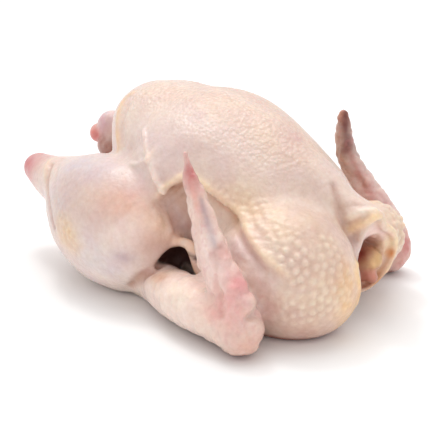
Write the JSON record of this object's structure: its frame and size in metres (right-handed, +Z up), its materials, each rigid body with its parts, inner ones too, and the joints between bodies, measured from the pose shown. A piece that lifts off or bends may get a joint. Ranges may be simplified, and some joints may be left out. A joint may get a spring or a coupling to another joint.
{
  "type": "whole raw chicken",
  "caption": "Whole raw plucked chicken without head or feet, lying breast up with the wings tucked and the neck end open.",
  "frame": {"origin": "middle of the bird's base box, on the plane it rests on", "axes": "+X towards the neck end, -X towards the tail and shanks, +Z up through the breast, -Y towards the wing and thigh nearer the viewer"},
  "size_m": [0.2542, 0.1756, 0.1166],
  "materials": {
    "skin": "moist soft satin"
  },
  "bodies": {
    "root": {"chicken": "skin"}
  },
  "joints": []
}
